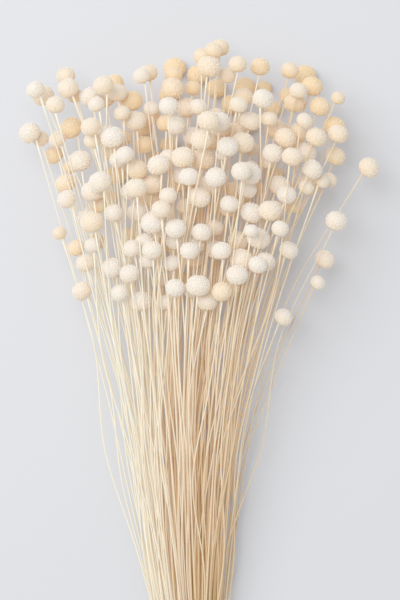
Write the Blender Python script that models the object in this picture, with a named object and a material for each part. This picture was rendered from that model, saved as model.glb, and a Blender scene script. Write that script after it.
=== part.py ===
# A bunch of dried button chrysanthemums, tied with twine and lying on a table.
# The stems run along Y from the cut ends (-Y) to the heads (+Y), and the table is z = 0.
# Sizes are written in millimetres and scaled to metres where the meshes are made.
import math

import bmesh
import bpy
import numpy as np
from mathutils import Vector

MM = 0.001
SEED = 43

# Lengths along the bunch, from y = 0, where each spray forks just above the twine.
TIE_Y = -20.0
CUT_Y = -66.0
CUT_SPREAD = 7.0
FAN_LENGTH = 354.0

# The bunch's cross-section is an ellipse that opens out along the stems.
TIE_HALF_WIDTH = 20.5
FAN_HALF_WIDTH = 98.0
WIDTH_POWER = 2.0
TIE_HALF_HEIGHT = 7.5
FAN_HALF_HEIGHT = 42.0
HEIGHT_POWER = 1.05
LEFT_LEAN = 6.6
FULL_LIFT_AT = 1.5

# Heads: the edge of the cloud that their centres fill, seen from above, and their sizes.
CLOUD_EDGE = [
    (-98.9, 354), (-94.5, 369), (-79.4, 376), (-58.6, 371), (-32.8, 376), (-17.0, 373),
    (-3.2, 385), (12.6, 387), (34.7, 395), (49.1, 386), (60.5, 383), (71.2, 372),
    (93.9, 361), (96.5, 352), (87.0, 327), (78.0, 308), (60.0, 288), (44.0, 271),
    (33.0, 252), (22.0, 231), (4.0, 228), (-17.0, 228), (-48.5, 231), (-71.8, 245),
    (-78.1, 277), (-83.2, 295), (-85.7, 320), (-95.8, 343),
]
CLOUD_HEADS = 209
CLOUD_MIDDLE = (8.0, 322.0)
CLOUD_SPREAD = (55.0, 60.0)
CROWDING = 1.3
SCATTER = 2.6
CANDIDATES = 6
HEAD_RADIUS = 6.15
HEAD_SPREAD = 0.75
HEAD_LEAST = 4.5
HEAD_MOST = 7.3

# Heights of the heads in the fan, from -1 to 1: each pair is the least and what chance adds.
DOME_POWER = 0.6
TOP_UP_TO = 0.76
INNER_UP_TO = 0.87
TOP_RISE = (0.5, 0.5)
INNER_RISE = (-0.1, 0.75)
UNDER_RISE = (0.7, 0.3)
UNDER_DEPTH = (0.25, 0.75)
EDGE_THICKNESS = 0.12

# How far a head leans out of its stem's line, to the side and at random.
NOD = 0.4
NOD_SIDE = 0.7
NOD_SCATTER = 0.4

# Seven flowers stand apart at the right: (x, y) of the head, its height in the bunch from
# -1 to 1, its radius.
LONE_FLOWERS = [
    (114.0, 316.0, 0.30, 6.7),
    (93.2, 282.0, 0.75, 6.8),
    (84.4, 258.0, -0.25, 6.5),
    (79.4, 243.0, 0.50, 4.8),
    (58.0, 221.0, 0.85, 5.8),
    (54.8, 263.5, 0.55, 6.0),
    (42.8, 256.0, 0.80, 6.3),
]

# Each node is a spray: one main stem goes down through the twine to its cut end, and the
# stems of the spray's other flowers grow out of it at the fork. Above it stems are three-sided.
STEM_RADIUS = 0.7
STEM_PARTS = 4
SPREAD_POWER = 0.8
WANDER = 3.0
WANDER_RISE = 0.4
MAIN_RADIUS = 1.15
MAIN_SIDES = 6
ROOT_RADIUS = 0.5
ROOT_LOWEST = -9.0
ROOT_STEP = 2.0
ROOT_OFFSET = 0.24
CUT_FLARE = 1.06
TIE_ROWS = (8, 11, 14, 11, 8)
TIE_COLUMN_PITCH = 2.9
TIE_ROW_PITCH = 2.7

# Room kept between flowers while they settle beside one another.
ROOM = 0.75
LEVEL_STEP = 11.0
FREE_BELOW = 45.0
SETTLING_STEPS = 620
CALM_FROM = 380
STEM_PUSH = 0.25
STEM_OFF_HEAD = 0.4
HEAD_OFF_STEM = 0.3
HEAD_PUSH = 0.45
HOME_SPRING = 0.04
BEND_SPRING = 0.12
LONGEST_MOVE = 1.5
FLOOR_ROOM = 0.2
HEAD_SLICES = (-0.6, 0.0, 0.6)

# The head's rings: height along its axis and radius, both for a head of radius 1.
HEAD_RINGS = [(-0.52, 0.80), (0.07, 0.98), (0.61, 0.72)]
HEAD_APEX = 0.86
HEAD_NECK = -0.88
HEAD_SIDES = 6
FLORET_RELIEF = 0.07
NECK_FLARE = 1.15
FLAT_SPOT = 0.4
FLOOR_REACH = 0.9
RESTING_SHARE = 0.12
RESTING_ACROSS = 0.8
SCRAP_CORNERS = 18

# The twine: turns side by side, each a bump of the band's outline.
TWINE_TURNS = 3
TWINE_PITCH = 3.0
TWINE_THICKNESS = 2.2
TWINE_GROOVE = 0.7
TURN_FLAT = 0.28
TWINE_SEGMENTS = 20
TIE_FLAT = 0.6
TIE_GAP = 0.7

SHARP_ANGLE = 50
FLOWER_COLOUR = (0.85, 0.76, 0.60)
FLOWER_ROUGHNESS = 0.85
TWINE_COLOUR = (0.62, 0.46, 0.27)
TWINE_ROUGHNESS = 0.9


def half_width(y):
    return TIE_HALF_WIDTH + (FAN_HALF_WIDTH - TIE_HALF_WIDTH) * (y / FAN_LENGTH) ** WIDTH_POWER


def half_height(y):
    return TIE_HALF_HEIGHT + (FAN_HALF_HEIGHT - TIE_HALF_HEIGHT) * (y / FAN_LENGTH) ** HEIGHT_POWER


def lean(y):
    return LEFT_LEAN * np.sin(np.clip(y / FAN_LENGTH, 0, 1) * math.pi)


def x_of(across, y):
    """The x of a place in the fan: across runs from -1 at its left edge to 1 at its right one."""
    return half_width(y) * across - lean(y) * (1 - across)


def across_of(x, y):
    return (x + lean(y)) / (half_width(y) + lean(y))


def middle_z(y):
    tie_lift = TWINE_THICKNESS + TIE_GAP
    lift = tie_lift + (HEAD_RADIUS - tie_lift) * np.clip(y / FAN_LENGTH * FULL_LIFT_AT, 0, 1)
    return half_height(y) + lift


def inside_cloud(points):
    """True for each point inside CLOUD_EDGE, by counting the edges that cross its row."""
    inside = np.zeros(len(points), bool)
    edge = np.array(CLOUD_EDGE)
    for (x0, y0), (x1, y1) in zip(edge, np.roll(edge, -1, axis=0)):
        crosses = (points[:, 1] > y0) != (points[:, 1] > y1)
        with np.errstate(divide="ignore", invalid="ignore"):
            edge_x = x0 + (points[:, 1] - y0) * (x1 - x0) / (y1 - y0)
        inside ^= crosses & (points[:, 0] < edge_x)
    return inside


def crowding(points):
    """How much nearer than at the edge the heads stand at each point."""
    away = (points - CLOUD_MIDDLE) / CLOUD_SPREAD
    return 1 + CROWDING * np.exp(-(away**2).sum(axis=1))


def cloud_points(rng):
    """Scattered points: each new one is the farthest of a few drawn at random, by how crowded they are."""
    edge = np.array(CLOUD_EDGE)
    low, high = edge.min(axis=0), edge.max(axis=0)
    kept = np.array([CLOUD_MIDDLE])
    while len(kept) < CLOUD_HEADS:
        drawn = low + (high - low) * rng.random((CANDIDATES * 3, 2))
        drawn = drawn[inside_cloud(drawn)][:CANDIDATES]
        away = np.linalg.norm(drawn[:, None] - kept[None], axis=2).min(axis=1)
        kept = np.vstack([kept, drawn[np.argmax(away * np.sqrt(crowding(drawn)))]])
    return kept + rng.normal(0, SCATTER, kept.shape)


def plan_heads(rng):
    """Head centres (x, y, z) and radii: a dome that is low at its far end and high near the tie."""
    points = cloud_points(rng)
    count = len(points)
    x, y = points[:, 0], points[:, 1]
    radius = np.clip(rng.normal(HEAD_RADIUS, HEAD_SPREAD, count), HEAD_LEAST, HEAD_MOST)
    far, near = max(p[1] for p in CLOUD_EDGE), min(p[1] for p in CLOUD_EDGE)
    toward_tie = np.clip((far - y) / (far - near), 0, 1) ** DOME_POWER
    kind = rng.random(count)
    share = rng.random(count)
    top = toward_tie * (TOP_RISE[0] + TOP_RISE[1] * share)
    inner = toward_tie * (INNER_RISE[0] + INNER_RISE[1] * share)
    depth = UNDER_DEPTH[0] + UNDER_DEPTH[1] * toward_tie
    under = -depth * (UNDER_RISE[0] + UNDER_RISE[1] * share)
    rise = np.where(kind < TOP_UP_TO, top, np.where(kind < INNER_UP_TO, inner, under))
    lone = np.array(LONE_FLOWERS)
    x = np.append(x, lone[:, 0])
    y = np.append(y, lone[:, 1])
    rise = np.append(rise, lone[:, 2])
    radius = np.append(radius, lone[:, 3])
    across = across_of(x, y)
    side = np.sqrt(np.clip(1 - across**2, EDGE_THICKNESS, 1))
    z = middle_z(y) + half_height(y) * side * rise
    rests = np.append(kind > 1 - RESTING_SHARE, np.zeros(len(lone), bool)) & (abs(across) < RESTING_ACROSS)
    z = np.where(rests, radius - FLAT_SPOT, z)
    return np.column_stack([x, y, z]), radius, rests


def share_out(heads):
    """The node of each flower and that node's place in the tie: rows by height, then by side."""
    count = len(heads)
    y = heads[:, 1]
    across = across_of(heads[:, 0], y)
    rise = (heads[:, 2] - middle_z(y)) / half_height(y)
    node = np.zeros(count, int)
    place = np.zeros((sum(TIE_ROWS), 2))
    by_height = np.argsort(rise, kind="stable")
    row_ends = np.round(np.cumsum(TIE_ROWS) / sum(TIE_ROWS) * count).astype(int)
    first, start = 0, 0
    for row, columns in enumerate(TIE_ROWS):
        members = by_height[start:row_ends[row]]
        members = members[np.argsort(across[members], kind="stable")]
        column = np.arange(len(members)) * columns // len(members)
        node[members] = first + column
        for c in range(columns):
            place[first + c, 0] = (c - (columns - 1) / 2) * TIE_COLUMN_PITCH
            place[first + c, 1] = (row - (len(TIE_ROWS) - 1) / 2) * TIE_ROW_PITCH
        first += columns
        start = row_ends[row]
    return node, place, across, rise


def face_heads(heads, across, rise, rng):
    """The way each head faces: along its stem, leaning out of the bunch and a little at random."""
    fan = np.column_stack([across * FAN_HALF_WIDTH, np.full(len(heads), FAN_LENGTH), rise * FAN_HALF_HEIGHT])
    axis = fan / np.linalg.norm(fan, axis=1, keepdims=True)
    out = np.column_stack([across * NOD_SIDE, np.zeros(len(heads)), rise])
    axis = axis + NOD * (out + rng.normal(0, NOD_SCATTER, (len(heads), 3)))
    return axis / np.linalg.norm(axis, axis=1, keepdims=True)


def first_paths(heads, necks, node, place, rng):
    """Knots (x, z) at even steps of y from the tie to the neck, before the flowers settle."""
    count = len(heads)
    tie_across = place[node, 0] / TIE_HALF_WIDTH
    tie_rise = place[node, 1] / TIE_HALF_HEIGHT
    across = across_of(necks[:, 0], necks[:, 1])
    rise = (necks[:, 2] - middle_z(necks[:, 1])) / half_height(necks[:, 1])
    knots = np.zeros((count, STEM_PARTS + 1, 2))
    for k in range(STEM_PARTS + 1):
        part = k / STEM_PARTS
        y = necks[:, 1] * part
        blend = part**SPREAD_POWER
        knots[:, k, 0] = x_of(tie_across + (across - tie_across) * blend, y)
        knots[:, k, 1] = middle_z(y) + half_height(y) * (tie_rise + (rise - tie_rise) * blend)
    wander = rng.normal(0, WANDER, (count, STEM_PARTS - 1, 2)) * (1, WANDER_RISE)
    knots[:, 1:-1] += wander
    return knots


def knot_weights(y, neck_y):
    """How much each knot counts in a stem's place at y, where the stem runs straight between knots."""
    spot = (y / neck_y)[..., None] * STEM_PARTS
    return np.clip(1 - np.abs(spot - np.arange(STEM_PARTS + 1)), 0, 1)


def apart(offset, least):
    """The push that brings two round sections, offset from each other, to their least distance."""
    distance = np.maximum(np.linalg.norm(offset, axis=-1), 1e-6)
    return offset / distance[..., None] * np.maximum(least - distance, 0)[..., None]


def stem_pushes(place, least):
    """The push on each stem, at each level, from the stems that are nearer than their least distance."""
    x, z = place[..., 0], place[..., 1]
    dx = x[:, :, None] - x[:, None]
    dz = z[:, :, None] - z[:, None]
    square = dx * dx + dz * dz
    near = np.flatnonzero(square < least * least)
    distance = np.maximum(np.sqrt(square.ravel()[near]), 1e-6)
    share = least.ravel()[near] / distance - 1
    stem = near // place.shape[1]
    push_x = np.bincount(stem, dx.ravel()[near] * share, x.size)
    push_z = np.bincount(stem, dz.ravel()[near] * share, x.size)
    return np.stack([push_x, push_z], axis=-1).reshape(place.shape)


def settle(knots, heads, necks, radius, rests, node):
    """Moves knots and heads sideways until no stem or head is nearer another than ROOM."""
    count = len(heads)
    head_y, neck_y = heads[:, 1], necks[:, 1]
    head_from_neck = (heads - necks)[:, [0, 2]]
    ball = radius * (1 + FLORET_RELIEF)
    start = knots.copy()
    bend = start[:, 1:-1] - (start[:, :-2] + start[:, 2:]) / 2
    levels = np.arange(LEVEL_STEP, neck_y.max(), LEVEL_STEP)
    level_weights = knot_weights(levels[:, None], neck_y[None])
    level_share = level_weights / (level_weights**2).sum(axis=2, keepdims=True).clip(0.25)
    has_stem = levels[:, None] < neck_y[None]
    itself = np.eye(count, dtype=bool)
    stem_gap = np.full((len(levels), count, count), 2 * STEM_RADIUS + ROOM)
    stem_gap[~(has_stem[:, :, None] & has_stem[:, None])] = 0
    stem_gap[:, itself] = 0
    stem_gap[levels < FREE_BELOW] += (MAIN_RADIUS - STEM_RADIUS) * stem_gap[levels < FREE_BELOW].clip(0, 1)
    stem_gap[levels < FREE_BELOW] *= node[:, None] != node[None]
    slices = np.array(HEAD_SLICES)
    slice_y = head_y[None, :, None] + slices[:, None, None] * ball[None, :, None]
    slice_radius = ball * np.sqrt(1 - slices**2)[:, None]
    slice_weights = knot_weights(slice_y, neck_y[None, None])
    slice_share = slice_weights / (slice_weights**2).sum(axis=3, keepdims=True).clip(0.25)
    stem_past_head = np.repeat(slice_radius[:, :, None] + STEM_RADIUS + ROOM, count, axis=2)
    stem_past_head[slice_y > neck_y[None, None]] = 0
    stem_past_head[:, itself] = 0
    along = head_y[:, None] - head_y[None]
    reach = ball[:, None] + ball[None] + ROOM
    head_past_head = np.sqrt(np.maximum(reach**2 - along**2, 0)) * ~itself
    for step in range(SETTLING_STEPS):
        spring = max(0, 1 - step / CALM_FROM)
        move = np.zeros_like(knots)
        place = np.einsum("jfk,fkc->jfc", level_weights, knots)
        move += np.einsum("jfk,jfc->fkc", level_share, stem_pushes(place, stem_gap) * STEM_PUSH)
        centres = knots[:, -1] + head_from_neck
        passing = np.einsum("shfk,fkc->shfc", slice_weights, knots)
        push = apart(passing - centres[None, :, None], stem_past_head) * STEM_OFF_HEAD
        move += np.einsum("shfk,shfc->fkc", slice_share, push)
        move[:, -1] -= push.sum(axis=(0, 2)) * HEAD_OFF_STEM
        crowded = apart(centres[:, None] - centres[None], head_past_head)
        move[:, -1] += crowded.sum(axis=1) * HEAD_PUSH
        move[:, -1] += (start[:, -1] - knots[:, -1]) * HOME_SPRING * spring
        smooth = (knots[:, :-2] + knots[:, 2:]) / 2 + bend
        move[:, 1:-1] += (smooth - knots[:, 1:-1]) * BEND_SPRING * spring
        move[:, 0] = 0
        length = np.linalg.norm(move, axis=2, keepdims=True)
        knots = knots + move * np.minimum(1, LONGEST_MOVE / np.maximum(length, 1e-9))
        lowest = radius - FLAT_SPOT - head_from_neck[:, 1]
        knots[:, -1, 1] = np.where(rests, lowest, np.maximum(knots[:, -1, 1], lowest))
        knots[:, 1:, 1] = np.maximum(knots[:, 1:, 1], STEM_RADIUS + FLOOR_ROOM)
    return np.round(knots, 4)


def ring(centre, axis, radius, sides, turn=0.0):
    """A ring of points round an axis, counted anticlockwise seen from its tip."""
    first = Vector((1, 0, 0)) - axis * axis.x
    first.normalize()
    second = axis.cross(first)
    angles = [turn + 2 * math.pi * i / sides for i in range(sides)]
    return [centre + (first * math.cos(a) + second * math.sin(a)) * radius for a in angles]


def flower_mesh(name, foot, knots, centre, axis, radius):
    """A closed flower: its foot's rings, its stem's, and a ball of florets that stand in and out."""
    along_y = Vector((0, 1, 0))
    rings = foot + [ring(point, along_y, STEM_RADIUS, 3) for point in knots[:-1]]
    rings.append(ring(knots[-1], (along_y + axis).normalized(), STEM_RADIUS * NECK_FLARE, 3))
    for i, (height, width) in enumerate(HEAD_RINGS):
        spots = ring(centre + axis * height * radius, axis, 1.0, HEAD_SIDES)
        middle = centre + axis * height * radius
        for s, spot in enumerate(spots):
            relief = 1 + FLORET_RELIEF * (1 if (i + s) % 2 else -1)
            spots[s] = middle + (spot - middle) * width * radius * relief
        rings.append(spots)
    vertices = [p for points in rings for p in points] + [centre + axis * HEAD_APEX * radius]
    stem_corners = sum(len(points) for points in rings[:-len(HEAD_RINGS)])
    for corner in vertices[stem_corners:]:
        if corner.z < FLOOR_REACH:
            corner.z = 0.0
    faces = [tuple(reversed(range(len(foot[0]))))]
    start = 0
    for low, high in zip(rings, rings[1:]):
        faces += bridge(start, len(low), start + len(low), len(high))
        start += len(low)
    apex = len(vertices) - 1
    faces += [(start + s, start + (s + 1) % HEAD_SIDES, apex) for s in range(HEAD_SIDES)]
    mesh = bpy.data.meshes.new(name)
    mesh.from_pydata([p * MM for p in vertices], [], faces)
    return mesh


def bridge(low, low_sides, high, high_sides):
    """Faces between two rings: side to side, or each side of one ring to two sides of the other."""
    faces = []
    for s in range(min(low_sides, high_sides)):
        low_step, high_step = (2 if low_sides > high_sides else 1), (2 if high_sides > low_sides else 1)
        a, b = low + s * low_step, low + (s + 1) * low_step % low_sides
        c, d = high + s * high_step, high + (s + 1) * high_step % high_sides
        if low_sides == high_sides:
            faces += [(a, b, d), (a, d, c)]
        elif high_step == 2:
            faces += [(a, c + 1, c), (a, b, c + 1), (b, d, c + 1)]
        else:
            faces += [(a, a + 1, c), (a + 1, d, c), (a + 1, b, d)]
    return faces


def material(name, colour, roughness):
    made = bpy.data.materials.new(name)
    made.use_nodes = True
    shader = made.node_tree.nodes["Principled BSDF"]
    shader.inputs["Base Color"].default_value = (*colour, 1)
    shader.inputs["Roughness"].default_value = roughness
    shader.inputs["Metallic"].default_value = 0.0
    return made


def drop_scraps(mesh):
    """Takes away the few-cornered shells that a union can leave inside a spray, so it is solid."""
    shape = bmesh.new()
    shape.from_mesh(mesh)
    left = set(shape.verts)
    while left:
        front = [left.pop()]
        shell = set(front)
        while front:
            corner = front.pop()
            for edge in corner.link_edges:
                other = edge.other_vert(corner)
                if other not in shell:
                    shell.add(other)
                    front.append(other)
        left -= shell
        if len(shell) < SCRAP_CORNERS:
            bmesh.ops.delete(shape, geom=list(shell), context="VERTS")
    shape.to_mesh(mesh)
    shape.free()


def join(name, meshes, look):
    """One object from a node's flowers, joined by a Boolean union on a collection."""
    objects = [bpy.data.objects.new(name, mesh) for mesh in meshes]
    first, others = objects[0], objects[1:]
    bpy.context.scene.collection.objects.link(first)
    group = bpy.data.collections.new(name + "_others")
    bpy.context.scene.collection.children.link(group)
    for other in others:
        group.objects.link(other)
    union = first.modifiers.new("union", "BOOLEAN")
    union.operation = "UNION"
    union.operand_type = "COLLECTION"
    union.collection = group
    union.solver = "EXACT"
    evaluated = first.evaluated_get(bpy.context.evaluated_depsgraph_get())
    joined = bpy.data.meshes.new_from_object(evaluated)
    drop_scraps(joined)
    first.modifiers.clear()
    first.data = joined
    for other in others:
        bpy.data.objects.remove(other)
    bpy.data.collections.remove(group)
    for mesh in meshes:
        bpy.data.meshes.remove(mesh)
    joined.name = name
    joined.materials.clear()
    joined.materials.append(look)
    joined.shade_smooth()
    joined.set_sharp_from_angle(angle=math.radians(SHARP_ANGLE))
    first.name = name
    return first


def make_flowers(look):
    rng = np.random.default_rng(SEED)
    heads, radius, rests = plan_heads(rng)
    node, place, across, rise = share_out(heads)
    axes = face_heads(heads, across, rise, rng)
    necks = heads + axes * radius[:, None] * HEAD_NECK
    knots = first_paths(heads, necks, node, place, rng)
    knots = settle(knots, heads, necks, radius, rests, node)
    cut_y = CUT_Y + CUT_SPREAD * rng.random(len(heads))
    centre_z = float(middle_z(0.0))
    along_y = Vector((0, 1, 0))
    made = []
    for n in range(node.max() + 1):
        members = np.flatnonzero(node == n)
        low_knots = knots[members, 1]
        from_middle = np.linalg.norm(low_knots - low_knots.mean(axis=0), axis=1)
        members = members[np.argsort(from_middle, kind="stable")]
        tie_x, tie_z = place[n, 0], place[n, 1] + centre_z
        meshes = []
        for rank, f in enumerate(members):
            step = necks[f, 1] / STEM_PARTS
            path = [Vector((x, k * step, z)) for k, (x, z) in enumerate(knots[f])][1:]
            centre = path[-1] + Vector(heads[f] - necks[f])
            if rank == 0:
                cut = Vector((tie_x * CUT_FLARE, cut_y[f], place[n, 1] * CUT_FLARE + centre_z))
                foot = [ring(p, along_y, MAIN_RADIUS, MAIN_SIDES) for p in (cut, Vector((tie_x, 0, tie_z)))]
            else:
                away = knots[f, 1] - knots[members[0], 1]
                away *= ROOT_OFFSET / np.linalg.norm(away)
                root_y = ROOT_LOWEST + ROOT_STEP * rank
                root = Vector((tie_x + away[0], root_y, tie_z + away[1]))
                foot = [ring(root, along_y, ROOT_RADIUS, 3)]
            meshes.append(flower_mesh("flower", foot, path, centre, Vector(axes[f]), radius[f]))
        made.append(join(f"flowers_{n + 1:02d}", meshes, look))
    return made


def make_tie(look):
    """An oval band of twine turns: its outline goes round the bunch at the tie."""
    width = TWINE_TURNS * TWINE_PITCH
    outline = [(-width / 2, 0.0)]
    for turn in range(TWINE_TURNS):
        y = (turn + 0.5) * TWINE_PITCH - width / 2
        flat = TWINE_PITCH * TURN_FLAT
        outline += [(y - flat, TWINE_THICKNESS), (y + flat, TWINE_THICKNESS)]
        if turn < TWINE_TURNS - 1:
            outline.append((y + TWINE_PITCH / 2, TWINE_THICKNESS - TWINE_GROOVE))
    outline.append((width / 2, 0.0))
    centre_z = float(middle_z(0.0))
    points, faces = [], []
    for s in range(TWINE_SEGMENTS):
        angle = 2 * math.pi * s / TWINE_SEGMENTS
        for y, out in outline:
            x = (TIE_HALF_WIDTH + TIE_GAP + out) * math.cos(angle)
            z = centre_z + (TIE_HALF_HEIGHT + TIE_GAP + out) * math.sin(angle)
            z = z if z > TIE_FLAT else 0.0
            points.append((x * MM, (TIE_Y + y) * MM, z * MM))
    ring_size = len(outline)
    for s in range(TWINE_SEGMENTS):
        here, there = s * ring_size, (s + 1) % TWINE_SEGMENTS * ring_size
        for p in range(ring_size):
            q = (p + 1) % ring_size
            faces.append((here + p, here + q, there + q, there + p))
    mesh = bpy.data.meshes.new("tie")
    mesh.from_pydata(points, [], faces)
    mesh.materials.append(look)
    mesh.shade_smooth()
    mesh.set_sharp_from_angle(angle=math.radians(SHARP_ANGLE))
    tie = bpy.data.objects.new("tie", mesh)
    bpy.context.scene.collection.objects.link(tie)
    return tie


def centre_on_floor(objects):
    """Moves the bunch so that the middle of its box's underside is the origin."""
    points = np.vstack([[v.co[:] for v in o.data.vertices] for o in objects])
    middle = (points.min(axis=0) + points.max(axis=0)) / 2
    for o in objects:
        o.location = (-middle[0], -middle[1], 0)


def main():
    for old in list(bpy.data.objects):
        bpy.data.objects.remove(old)
    ivory = material("dried_flower", FLOWER_COLOUR, FLOWER_ROUGHNESS)
    twine = material("twine", TWINE_COLOUR, TWINE_ROUGHNESS)
    centre_on_floor(make_flowers(ivory) + [make_tie(twine)])


main()
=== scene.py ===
import math

import bpy
import numpy as np
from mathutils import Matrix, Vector


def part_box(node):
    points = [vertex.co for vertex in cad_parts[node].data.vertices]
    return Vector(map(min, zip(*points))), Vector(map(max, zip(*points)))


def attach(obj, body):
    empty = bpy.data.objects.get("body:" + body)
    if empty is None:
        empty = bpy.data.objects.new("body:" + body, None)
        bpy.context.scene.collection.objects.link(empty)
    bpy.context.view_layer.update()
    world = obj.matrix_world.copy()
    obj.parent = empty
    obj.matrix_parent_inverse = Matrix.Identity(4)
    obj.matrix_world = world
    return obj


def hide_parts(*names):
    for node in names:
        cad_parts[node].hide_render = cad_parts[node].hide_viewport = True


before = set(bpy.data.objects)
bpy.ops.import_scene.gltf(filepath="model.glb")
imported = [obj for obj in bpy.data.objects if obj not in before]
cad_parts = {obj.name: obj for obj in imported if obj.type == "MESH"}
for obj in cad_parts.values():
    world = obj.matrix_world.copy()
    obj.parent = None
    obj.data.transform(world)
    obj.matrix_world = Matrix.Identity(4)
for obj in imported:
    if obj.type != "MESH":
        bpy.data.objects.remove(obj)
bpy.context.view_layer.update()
print("frame loaded:", len(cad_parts), "nodes")

mm = 0.001

# Where each flower stands, in mm. A rise of -1 is the bunch's underside and 1 its top.
bunch = {
    "seed": 43,
    "tieY": -20.0,                    # the twine's middle
    "cutY": -66.0,
    "cutSpread": 7.0,                 # the cut ends aren't level
    "fanLength": 354.0,
    "tieHalfWidth": 20.5,
    "fanHalfWidth": 98.0,
    "widthPower": 2.0,                # above 1, the fan opens late
    "tieHalfHeight": 7.5,
    "fanHalfHeight": 42.0,
    "heightPower": 1.05,
    "leftLean": 6.6,                  # how far the left side bows out
    "fullLiftAt": 1.5,                # fully off the table at 1 / 1.5 of the fan's length
    "twineThickness": 2.2,
    "tieGap": 0.7,
    "headCount": 209,
    "cloudMiddle": (8.0, 322.0),
    "cloudSpread": (55.0, 60.0),
    "crowding": 1.3,                  # how much closer the heads stand in the middle
    "scatter": 2.6,
    "candidates": 6,                  # points drawn for each head, one of which is kept
    "headRadius": 6.15,
    "headSpread": 0.75,
    "headLeast": 4.5,
    "headMost": 7.3,
    "domePower": 0.6,
    "topUpTo": 0.76,                  # this share of the heads lies on top,
    "innerUpTo": 0.87,                # up to this share inside, and the rest below
    "topRise": (0.5, 0.5),            # the least rise, and what chance adds
    "innerRise": (-0.1, 0.75),
    "underRise": (0.7, 0.3),
    "underDepth": (0.25, 0.75),
    "edgeThickness": 0.12,
    "nod": 0.4,                       # how far a head leans off its stem
    "nodSide": 0.7,
    "nodScatter": 0.4,
    "stemParts": 4,
    "spreadPower": 0.8,
    "wander": 3.0,
    "wanderRise": 0.4,
    "neckHeight": -0.88,
    "flatSpot": 0.4,                  # how far the lowest heads are pressed flat
    "restingShare": 0.12,
    "restingAcross": 0.8,
    "tieRows": (8, 11, 14, 11, 8),    # sprays in each row inside the twine
    "tieColumnPitch": 2.9,
    "tieRowPitch": 2.7,
    "cutFlare": 1.06,
}

# How the flowers make room for one another, in mm.
settling = {
    "steps": 620,
    "calmFrom": 380,                  # from this step on nothing pulls them back
    "room": 0.75,
    "levelStep": 11.0,                # stems are kept apart at every such step along them
    "freeBelow": 45.0,                # below this a spray's own stems may meet
    "stemRadius": 0.7,
    "mainRadius": 1.15,
    "floretRelief": 0.07,
    "stemPush": 0.25,
    "stemOffHead": 0.4,
    "headOffStem": 0.3,
    "headPush": 0.45,
    "homeSpring": 0.04,
    "bendSpring": 0.12,
    "leastWeight": 0.25,
    "longestMove": 1.5,
    "floorRoom": 0.2,
    "headSlices": (-0.6, 0.0, 0.6),   # where stems are kept off a head, 1 is its end
}

# The edge of the cloud of heads, seen from above, and the seven flowers apart from it
# (x, y, height in the bunch from -1 to 1, radius).
cloudEdge = np.array([
    (-98.9, 354), (-94.5, 369), (-79.4, 376), (-58.6, 371), (-32.8, 376), (-17.0, 373),
    (-3.2, 385), (12.6, 387), (34.7, 395), (49.1, 386), (60.5, 383), (71.2, 372),
    (93.9, 361), (96.5, 352), (87.0, 327), (78.0, 308), (60.0, 288), (44.0, 271),
    (33.0, 252), (22.0, 231), (4.0, 228), (-17.0, 228), (-48.5, 231), (-71.8, 245),
    (-78.1, 277), (-83.2, 295), (-85.7, 320), (-95.8, 343),
])
loneFlowers = np.array([
    (114.0, 316.0, 0.30, 6.7),
    (93.2, 282.0, 0.75, 6.8),
    (84.4, 258.0, -0.25, 6.5),
    (79.4, 243.0, 0.50, 4.8),
    (58.0, 221.0, 0.85, 5.8),
    (54.8, 263.5, 0.55, 6.0),
    (42.8, 256.0, 0.80, 6.3),
])


# half width = tie's + (fan's - tie's) * (y / length) ^ power
def halfWidth(y):
    wider = bunch["fanHalfWidth"] - bunch["tieHalfWidth"]
    return bunch["tieHalfWidth"] + wider * (y / bunch["fanLength"]) ** bunch["widthPower"]


# half height = tie's + (fan's - tie's) * (y / length) ^ power
def halfHeight(y):
    higher = bunch["fanHalfHeight"] - bunch["tieHalfHeight"]
    return bunch["tieHalfHeight"] + higher * (y / bunch["fanLength"]) ** bunch["heightPower"]


# lean = most * sin(half a turn * y / length)
def lean(y):
    return bunch["leftLean"] * np.sin(np.clip(y / bunch["fanLength"], 0, 1) * math.pi)


# x = half width * across - lean * (1 - across)
def xOf(across, y):
    return halfWidth(y) * across - lean(y) * (1 - across)


# across = (x + lean) / (half width + lean)
def acrossOf(x, y):
    return (x + lean(y)) / (halfWidth(y) + lean(y))


# middle = half height + lift, which grows evenly from the twine's to a head's radius
def middleZ(y):
    tieLift = bunch["twineThickness"] + bunch["tieGap"]
    share = np.clip(y / bunch["fanLength"] * bunch["fullLiftAt"], 0, 1)
    return halfHeight(y) + tieLift + (bunch["headRadius"] - tieLift) * share


# a point is inside when an odd number of the outline's edges cross its row to its right
def insideCloud(points):
    inside = np.zeros(len(points), bool)
    for (x0, y0), (x1, y1) in zip(cloudEdge, np.roll(cloudEdge, -1, axis=0)):
        crosses = (points[:, 1] > y0) != (points[:, 1] > y1)
        with np.errstate(divide="ignore", invalid="ignore"):
            edgeX = x0 + (points[:, 1] - y0) * (x1 - x0) / (y1 - y0)
        inside ^= crosses & (points[:, 0] < edgeX)
    return inside


# crowding = 1 + most * exp(-(distance from the cloud's middle)^2)
def crowding(points):
    away = (points - bunch["cloudMiddle"]) / bunch["cloudSpread"]
    return 1 + bunch["crowding"] * np.exp(-(away**2).sum(axis=1))


# each new point is the farthest, by its crowding, of a few drawn at random
def cloudPoints(rng):
    low, high = cloudEdge.min(axis=0), cloudEdge.max(axis=0)
    few = bunch["candidates"]
    kept = np.array([bunch["cloudMiddle"]])
    while len(kept) < bunch["headCount"]:
        drawn = low + (high - low) * rng.random((few * 3, 2))
        drawn = drawn[insideCloud(drawn)][:few]
        away = np.linalg.norm(drawn[:, None] - kept[None], axis=2).min(axis=1)
        kept = np.vstack([kept, drawn[np.argmax(away * np.sqrt(crowding(drawn)))]])
    return kept + rng.normal(0, bunch["scatter"], kept.shape)


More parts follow.
